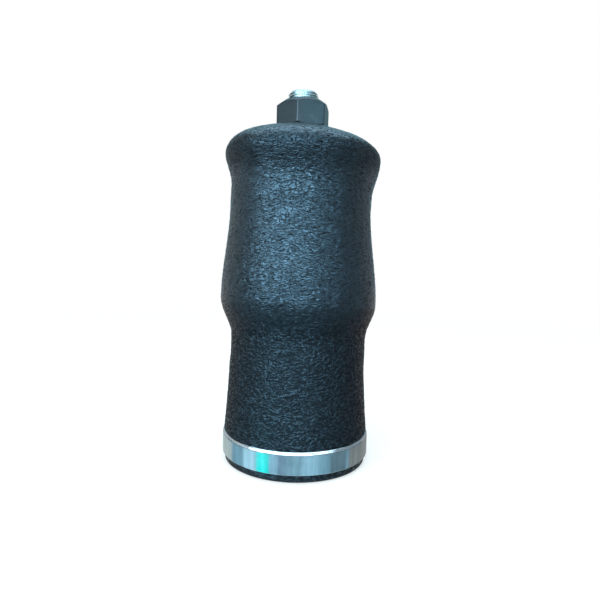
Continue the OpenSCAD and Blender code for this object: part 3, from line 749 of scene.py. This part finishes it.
# %% Ring with jaw marks
ring_foot_line = rounded([
    (foot_r, ring_foot_z + 2.0), (foot_r, ring_foot_z), (ring_r, ring_foot_z), (ring_r, ring_foot_z + 2.0),
], 0.3, 5)
ring_side_line = np.stack([np.full(8, ring_r), np.linspace(ring_foot_z + 2.6, ring_top_z - 2.2, 8)], -1)
ring_lip_line = rounded([
    (ring_r, ring_top_z - 1.9), (ring_r, ring_top_z - 1.1), (ring_r - 0.28, ring_top_z - 0.35),
    (ring_r - 0.85, ring_top_z), (foot_r, ring_top_z), (foot_r, ring_top_z - 2.0),
], 0.55, 6)
ring_line_r, ring_line_z = circles(np.vstack([ring_foot_line, ring_side_line, ring_lip_line]))
jaws, jaw_flatness = 18, 0.10
ring_angles = turn_angles(24 * jaws)
jaw_angle = (ring_angles * jaws / (2 * np.pi)) % 1 - 0.5
flat_circle = math.cos(math.pi / jaws) / np.cos(jaw_angle * 2 * np.pi / jaws)
jaw_mark = jaw_flatness * (flat_circle - 1) * ring_r * rise(ring_line_r, foot_r, ring_r)
ring = skin("crimp_ring_skin", turned(ring_line_r + jaw_mark, ring_line_z, ring_angles))
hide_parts("crimp_ring")
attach(ring, "foot")

# %% [markdown]
# ## Satin aluminium
# Turning leaves fine lines round the ring. They spread light up and down but not sideways, so each lamp and window is
# drawn out into an upright band. The shader's anisotropy does this, turned a quarter so that the spread is upright.

# %% Satin aluminium
def darker(colour, share):
    """The same colour with that share of its light."""
    return tuple(part * share for part in colour)


def satin_aluminium(name, colour):
    """Metal with upright spread of its gloss, fine lines round the axis, faint handling marks and painted upright
    reflection streaks.
    """
    metal = Finish(name, Metallic=1.0, Anisotropic=0.6, Anisotropic_Rotation=0.25)
    lines = metal.noise(2.0, metal.stretched(1, 1, 30), 2.0)
    upright = metal.noise(1.6, metal.stretched(1, 1, 0.08), 3.0)
    dull = metal.noise(6.0, None, 4.0)
    metal.wire(
        # Painted reflection: the upright streaks in the colour stand for upright reflections, mixed with faint handling
        # marks.
        Base_Color=metal.mix((upright * 0.6 + dull * 0.4).ramp(0.35, 0.65), darker(colour, 0.82), colour),
        Roughness=0.21 + (dull - 0.5) * 0.12 + (upright - 0.5) * 0.05,
        Normal=metal.bump(lines * 0.7 + upright * 0.3, 0.008),
    )
    return metal


# The bluish cast of this colour is a painted reflection of the bluish light round the ring. The grey under it is the
# aluminium's own.
dress(ring, satin_aluminium("satin_aluminium", (0.64, 0.73, 0.78)))

# %% [markdown]
# ## Hex nut
# The nut is a hexagon cut by a cone at its top and a flat one at its foot, which draw the curved edges on each flat.
# Radius is worked out for every angle and height as the smallest of hexagon and cones. A power mean is used for
# "smallest of", because it rounds the edge between them a little, as plating and wear do. The grid is stacked from
# stretches: the side comes first, then plain circles over the face, down the bore and out over the foot.

# %% Nut
def stacked(angles, *stretches):
    """One grid from several stretches (radius, height), which follow each other row by row."""
    return np.concatenate([turned(radius, height, angles) for radius, height in stretches])


def least(power, *radii):
    """Soft minimum: (sum of r^-power)^(-1/power). The higher the power, the sharper the edge where two are equal."""
    return sum(radius**-power for radius in radii) ** (-1 / power)


nut_flat, nut_turn, half_flat, edge_power = 9.5, math.radians(18.7), math.radians(30), 200
nut_face_r, nut_slope, nut_low_slope = 7.7, math.radians(37), math.radians(9)
nut_bore_r = 5.6
share = np.array([0, 0.03, 0.07, 0.13, 0.25, 0.42, 0.58, 0.75, 0.87, 0.93, 0.97])
on_flat = np.arctan((share * 2 - 1) * math.tan(half_flat))
flat_axes = half_flat * (2 * np.arange(6)[:, None] + 1)
nut_angles = (flat_axes + on_flat).reshape(1, -1) + nut_turn
hexagon = least(edge_power, *(nut_flat / np.clip(np.cos(nut_angles - nut_turn - flat_axes), 1e-6, None)))
foot_rows = [0, 0.012, 0.035, 0.07, 0.11]
flat_rows, cone_rows = np.linspace(0.16, 0.66, 10), np.linspace(0.69, 0.99, 22)
climb = nut_foot_z + (nut_top_z - nut_foot_z) * np.concatenate([foot_rows, flat_rows, cone_rows, [1]])[:, None]
low_cone = nut_flat + (climb - nut_foot_z) / math.tan(nut_low_slope)
high_cone = nut_face_r + (nut_top_z - climb) / math.tan(nut_slope)
nut_side = least(edge_power, hexagon, low_cone, high_cone)
face_radii, face_depths = [7.45, 7.1, 6.7, 6.25, 6.05, 5.85, nut_bore_r], np.array([0, 0, 0, 0, 0.05, 0.25, 0.5])
nut_face_line = np.stack([face_radii, nut_top_z - face_depths], -1)
nut_foot_line = np.stack([[nut_bore_r, 6.1, 8.0, 9.2], nut_foot_z + np.array([0.5, 0, 0, 0])], -1)
nut = skin("top_nut_skin", stacked(nut_angles, (nut_side, climb), circles(nut_face_line), circles(nut_foot_line)))
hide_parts("top_nut")
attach(nut, "crown")

# %% [markdown]
# ## Black oxide
# Black oxide is a thin dark layer on steel. It stays a metal, but a dark one with a soft gloss. Handling leaves paler
# rubs. The side that points right is coloured a little bluer and lighter, a painted reflection of bluish light. On the
# turned cone at the top it is darkest. The cone is where radius and height together reach the cone's own line.

# %% Black oxide
def black_oxide():
    """Dark metal with cloudy changes of gloss, paler rubs, a darker cone and a painted bluish reflection on its right
    side.
    """
    oxide = Finish("black_oxide", Metallic=0.85)
    cloud, speck = oxide.noise(3.0, None, 4.0), oxide.noise(0.5, None, 3.0)
    rub = (cloud * 0.6 + speck * 0.4).ramp(0.50, 0.72)
    # Painted reflection: towards +X the colours turn bluer and lighter.
    to_right = oxide.axis("X").ramp(-0.003, 0.002)
    whole = oxide.mix(to_right, (0.031, 0.041, 0.046), (0.030, 0.048, 0.055))
    rubbed = oxide.mix(to_right, (0.045, 0.057, 0.064), (0.050, 0.075, 0.084))
    cone_reach = nut_face_r + nut_top_z / math.tan(nut_slope)
    reach = oxide.radius() + oxide.axis("Z") * (1 / math.tan(nut_slope))
    on_cone = reach.ramp((cone_reach - 0.35) * MM, (cone_reach - 0.1) * MM)
    oxide.wire(
        Base_Color=oxide.mix(on_cone, oxide.mix(rub, whole, rubbed), (0.010, 0.015, 0.017)),
        Roughness=0.42 + (speck - 0.5) * 0.16,
        Normal=oxide.bump(speck, 0.02),
    )
    return oxide


dress(nut, black_oxide())

# %% [markdown]
# ## Threaded stud
# The stud is M12 with a fine pitch of 1.25 mm. A thread is a helix: the profile's height is shifted by one pitch per
# turn. On the grid this is one formula for the radius, so the thread is real relief, and a cone cuts it at the tip.
# Inside the crown the stud has a wide head with a groove for its seal, which follows the solid.

# %% Stud
def thread_radius(height, around, pitch, crest, depth):
    """Radius of a right-hand V thread: crest minus depth times a triangle wave of (height / pitch - turns), whose ends
    are cut off to flat crests. A negative depth cuts the thread into the wall of a hole."""
    phase = (height / pitch - around / (2 * np.pi)) % 1
    return crest - depth * np.clip(np.abs(phase * 2 - 1) * 1.25 - 0.12, 0, 1)


stud_pitch, stud_r, thread_depth, neck_r, chamfer = 1.25, 6.0, 0.68, 5.55, 1.0
head_r, head_foot_z = stud_high[0], stud_low[2]
head_top_z, neck_z, thread_foot_z = head_foot_z + 4.0, well_z + 0.1, nut_top_z - 1.0
seal_in, seal_out, groove_z = 7.7, 9.7, head_top_z - 1.8
head_line = rounded([
    (1.0, head_foot_z), (head_r - 0.6, head_foot_z), (head_r, head_foot_z + 0.6), (head_r, head_top_z),
    (seal_out, head_top_z), (seal_out, groove_z), (seal_in, groove_z), (seal_in, head_top_z), (stud_r, head_top_z),
    (stud_r, neck_z), (neck_r, neck_z),
], 0.15, 2)
lower_line = np.vstack([head_line, [(neck_r, thread_foot_z - 0.2)]])
tip_line = np.array([(4.6, tip_z), (3.0, tip_z), (1.4, tip_z)])
stud_angles = turn_angles(96)
thread_z = np.linspace(thread_foot_z, tip_z, 60)[:, None]
full_thread = thread_radius(thread_z, stud_angles, stud_pitch, stud_r, thread_depth)
run_in = rise(thread_z, thread_foot_z, thread_foot_z + 0.6)
thread = np.minimum(neck_r + (full_thread - neck_r) * run_in, stud_r - chamfer + tip_z - thread_z)
stud_grid = stacked(stud_angles, circles(lower_line), (thread, thread_z), circles(tip_line))
stud = skin("top_stud_skin", stud_grid, [(0, 0, head_foot_z), (0, 0, tip_z)])
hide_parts("top_stud")
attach(stud, "crown")

# %% [markdown]
# ## Zinc plate
# Bright zinc is a shiny bluish-white metal with faint crystals and small dull patches. The chamfered tip of the stud is
# painted darker, as painted shade along its top edge.

# %% Zinc plate
def zinc(name, colour, roughness, relief=0.01):
    """Plated steel: cloudy colour, small dull patches and a very fine grain."""
    plate = Finish(name, Metallic=1.0)
    cloud, speck = plate.noise(4.0, None, 4.0), plate.noise(0.6, None, 3.0)
    plate.wire(
        Base_Color=plate.mix(cloud.ramp(0.35, 0.7), darker(colour, 0.8), colour),
        Roughness=roughness + (cloud - 0.5) * 0.2 + (speck - 0.5) * 0.1,
        Normal=plate.bump(speck, relief),
    )
    return plate


stud_zinc = zinc("stud_zinc", (0.44, 0.54, 0.55), 0.30, 0.003)
# Painted shade: the last millimetre of the tip is coloured darker.
painted_tip_shade = stud_zinc.axis("Z").ramp((tip_z - 1.1) * MM, (tip_z - 0.5) * MM)
stud_zinc.wire(Base_Color=stud_zinc.mix(painted_tip_shade, (0.43, 0.53, 0.545), (0.24, 0.31, 0.33)))
dress(stud, stud_zinc)

# %% [markdown]
# ## Threaded insert
# The foot is bolted down by an M10 bolt, whose thread is cut into a steel insert. Its helix has a pitch of 1.5 mm, and
# the same formula as for the stud gives it, with the depth turned round because the thread goes into the wall. The hole
# starts with a bevel and ends at the drill's radius, where the tap ran out. A groove round the outside keeps the insert
# from being pulled out.

# %% Insert with an inner thread
insert_r, insert_top_z = node_box("mount_insert")[1][[0, 2]]
bolt_pitch, core_r, bolt_thread_depth, hole_top_z, tapped_z, bevel_r = 1.5, 4.25, 0.72, 10.5, 9.2, 5.2
groove_in, groove_low, groove_high = insert_r - 0.8, insert_top_z / 2 - 0.7, insert_top_z / 2 + 0.7
insert_angles = turn_angles(96)
hole_z = np.linspace(hole_top_z - 0.05, 0.0, 110)[:, None]
bolt_thread = thread_radius(hole_z, insert_angles, bolt_pitch, core_r, -bolt_thread_depth)
tapped = rise(hole_z, tapped_z, tapped_z - 0.6)
hole = np.maximum(core_r + (bolt_thread - core_r) * tapped, bevel_r - hole_z)
hole_floor = np.array([(1.5, hole_top_z), (3.6, hole_top_z)])
insert_side = rounded([
    (bevel_r + 0.15, 0.0), (insert_r, 0.0), (insert_r, groove_low), (groove_in, groove_low), (groove_in, groove_high),
    (insert_r, groove_high), (insert_r, insert_top_z), (1.0, insert_top_z),
], 0.2, 3)
insert_grid = stacked(insert_angles, circles(hole_floor), (hole, hole_z), circles(insert_side))
insert = skin("mount_insert_skin", insert_grid, [(0, 0, hole_top_z), (0, 0, insert_top_z)])
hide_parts("mount_insert")
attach(insert, "foot")

# %% [markdown]
# ## Air port
# A plastic tube is pushed into the port through a small collet, which is pushed in to let the tube go. Collet and brass
# body are rings with a stepped section. Their edges are broken, so that a bright line shows on each rim and the tube
# finds its way in.

# %% Collet and body of the port
collet_low, collet_high = node_box("release_collet")
port_low, port_high = node_box("port_cartridge")
port_x = (collet_low[0] + collet_high[0]) / 2


def port_ring(node, corners, edge, body):
    """Ring round the port's axis whose section is the closed line through corners, each corner rounded by edge."""
    grid = turned(*circles(rounded(corners, edge, 3)), turn_angles(144))
    grid[..., 0] += port_x
    piece = skin(node + "_skin", grid)
    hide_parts(node)
    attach(piece, body)
    return piece


tube_r, shank_r, barb_r, flange_r = 3.1, 4.05, 4.6, collet_high[0] - port_x
collet_foot_z, flange_z, barb_z, collet_top_z = collet_low[2], 1.8, 5.1, collet_high[2]
collet = port_ring("release_collet", [
    (tube_r, 3.4), (tube_r, 1.15), (3.45, collet_foot_z), (flange_r, collet_foot_z), (flange_r, flange_z),
    (shank_r, flange_z), (shank_r, barb_z), (barb_r, barb_z), (shank_r, collet_top_z), (tube_r, collet_top_z),
    (tube_r, 3.5),
], 0.22, "collet")
lip_r, mouth_r, body_r, drill_r, chamber_r = 4.2, 5.2, port_high[0] - port_x, 2.0, 5.0
mouth_z, lip_low, lip_high, chamber_z, stop_z, body_top_z = port_low[2], 2.9, 5.0, 11.5, 12.5, port_high[2]
ring_seat_r, ring_seat_low, ring_seat_high = 5.2, 13.15, 14.55
port_body = port_ring("port_cartridge", [
    (lip_r, 3.9), (lip_r, lip_low), (mouth_r, lip_low), (mouth_r, mouth_z), (body_r, mouth_z),
    (body_r, ring_seat_low), (ring_seat_r, ring_seat_low), (ring_seat_r, ring_seat_high), (body_r, ring_seat_high),
    (body_r, body_top_z), (drill_r, body_top_z), (drill_r, stop_z), (tube_r, stop_z), (tube_r, chamber_z),
    (chamber_r, chamber_z), (chamber_r, lip_high), (lip_r, lip_high), (lip_r, 4.0),
], 0.16, "foot")

# %% [markdown]
# ## Finishes of the other pieces
# The solids inside and under the foot are right as they are and keep their place. Each gets a finish of its own:
# plated washers, pressed sheet, glass-filled nylon, cellular rubber, turned brass and acetal. The three pieces of the
# foot that were made above take theirs from the same list.

# %% Finishes for the kept solids
def plastic(name, colour, roughness, grain_size, depth):
    """Moulded plastic or rubber: slightly cloudy colour and an even fine grain."""
    mould = Finish(name)
    cloud, speck = mould.noise(8.0, None, 3.0), mould.noise(grain_size, None, 2.0)
    mould.wire(
        Base_Color=mould.mix(cloud.ramp(0.3, 0.7), darker(colour, 0.8), colour),
        Roughness=roughness + (speck - 0.5) * 0.15,
        Normal=mould.bump(speck, depth),
    )
    return mould


def turned_metal(name, colour, middle=0.0):
    """Metal with the fine lines that a lathe leaves, seen as rings on faces and bands on sides."""
    metal = Finish(name, Metallic=1.0)
    lines, cloud = metal.noise(0.45, metal.lathe(middle), 3.0), metal.noise(5.0, None, 3.0)
    metal.wire(
        Base_Color=metal.mix((cloud * 0.4 + lines * 0.6).ramp(0.3, 0.7), darker(colour, 0.78), colour),
        Roughness=0.3 + (cloud - 0.5) * 0.15 + (lines - 0.5) * 0.2,
        Normal=metal.bump(lines, 0.012),
    )
    return metal


slot_finishes = {
    "fastener_zinc": zinc("fastener_zinc", (0.60, 0.62, 0.63), 0.36),
    "plate_steel": zinc("plate_steel", (0.50, 0.50, 0.48), 0.42),
    "insert_steel": zinc("insert_steel", (0.62, 0.56, 0.40), 0.34),
    "grip_steel": zinc("grip_steel", (0.70, 0.71, 0.72), 0.2),
    "plug_aluminium": turned_metal("plug_aluminium", (0.70, 0.71, 0.72)),
    "port_brass": turned_metal("port_brass", (0.78, 0.60, 0.32), port_x * MM),
    "seal_rubber": plastic("seal_rubber", (0.02, 0.02, 0.02), 0.4, 0.4, 0.01),
    "bump_rubber": plastic("bump_rubber", (0.09, 0.08, 0.06), 0.85, 0.5, 0.12),
    "cone_plastic": plastic("cone_plastic", (0.05, 0.055, 0.06), 0.5, 0.7, 0.03),
    "spacer_plastic": plastic("spacer_plastic", (0.75, 0.73, 0.66), 0.4, 0.6, 0.01),
    "collet_plastic": plastic("collet_plastic", (0.03, 0.035, 0.045), 0.35, 0.6, 0.01),
}
for subpart in frame["record"]["subparts"]:
    if subpart["material_slot"] in slot_finishes:
        dress(frame["nodes"][subpart["node"]], slot_finishes[subpart["material_slot"]])
dress(insert, slot_finishes["insert_steel"])
dress(collet, slot_finishes["collet_plastic"])
dress(port_body, slot_finishes["port_brass"])
